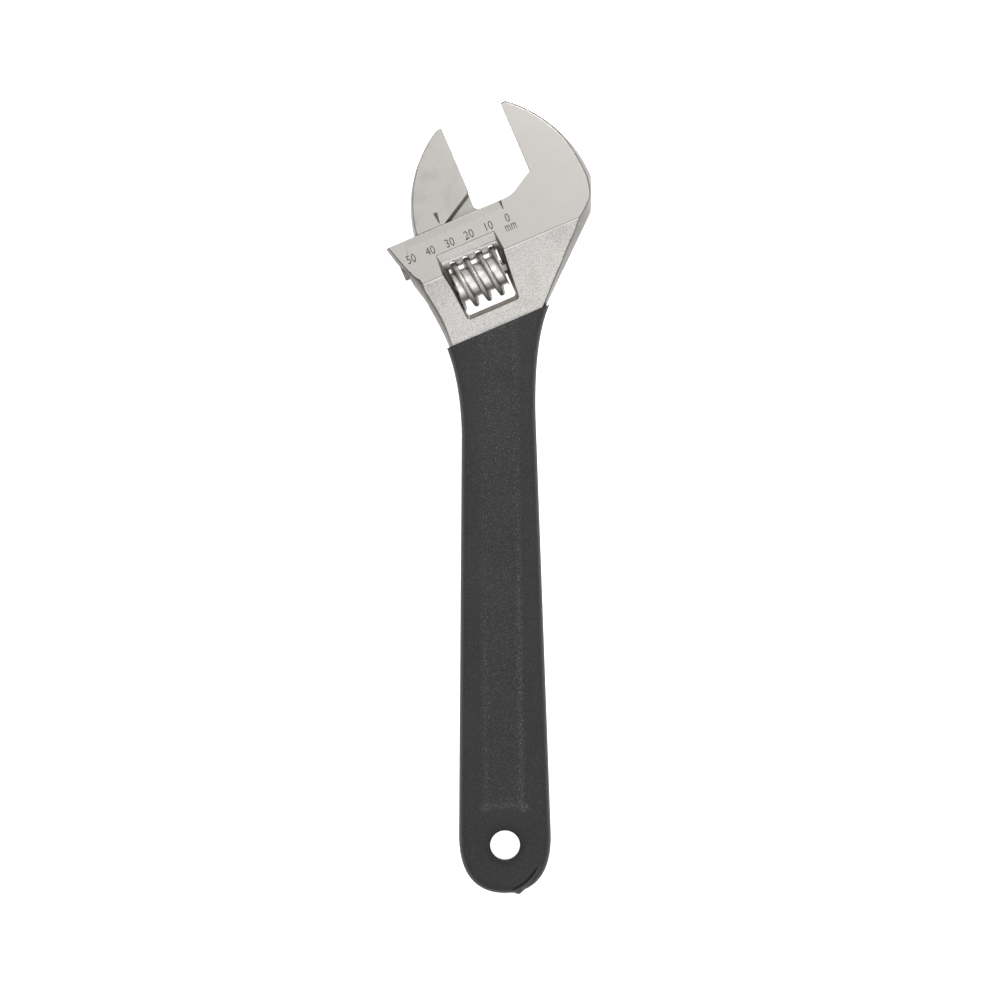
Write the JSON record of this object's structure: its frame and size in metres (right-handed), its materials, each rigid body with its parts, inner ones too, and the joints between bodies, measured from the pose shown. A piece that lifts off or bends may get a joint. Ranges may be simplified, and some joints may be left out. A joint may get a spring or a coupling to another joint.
{
  "type": "adjustable wrench",
  "caption": "Adjustable wrench with a forged head, a sliding jaw on a round rack rail, a worm on a slotted pin, and a dipped channelled grip with a hang hole.",
  "frame": {"origin": "centre of the hang hole on the mid-plane", "axes": "+Y along the handle to the head, +X right as seen from the marked face, +Z out of the marked face"},
  "size_m": [0.0981, 0.3787, 0.024],
  "materials": {
    "forged_steel": "satin plated, ground on the faces and blasted below them",
    "jaw_steel": "satin plated and ground",
    "worm_steel": "bright plated, rolled thread",
    "pin_steel": "turned",
    "spring_wire": "drawn wire",
    "grip_vinyl": "dipped vinyl, fine speckle"
  },
  "bodies": {
    "frame": {"body": "forged_steel", "worm_pin": "pin_steel", "worm_spring": "spring_wire", "handle_grip": "grip_vinyl"},
    "jaw": {"movable_jaw": "jaw_steel"},
    "worm_body": {"worm": "worm_steel"}
  },
  "joints": [
    {"name": "jaw_slide", "type": "slide", "parent": "frame", "child": "jaw", "axis": [-0.9239, -0.3827, 0], "range_m": [-0.03065, 0.0133]},
    {"name": "worm_spin", "type": "hinge", "parent": "frame", "child": "worm_body", "pos_m": [-0.00869, 0.2713, 0], "axis": [0.9239, 0.3827, 0], "range_deg": [-1676, 730]}
  ],
  "couplings": [
    {"joint": "worm_spin", "follows": "jaw_slide", "rad_per_m": 952}
  ]
}
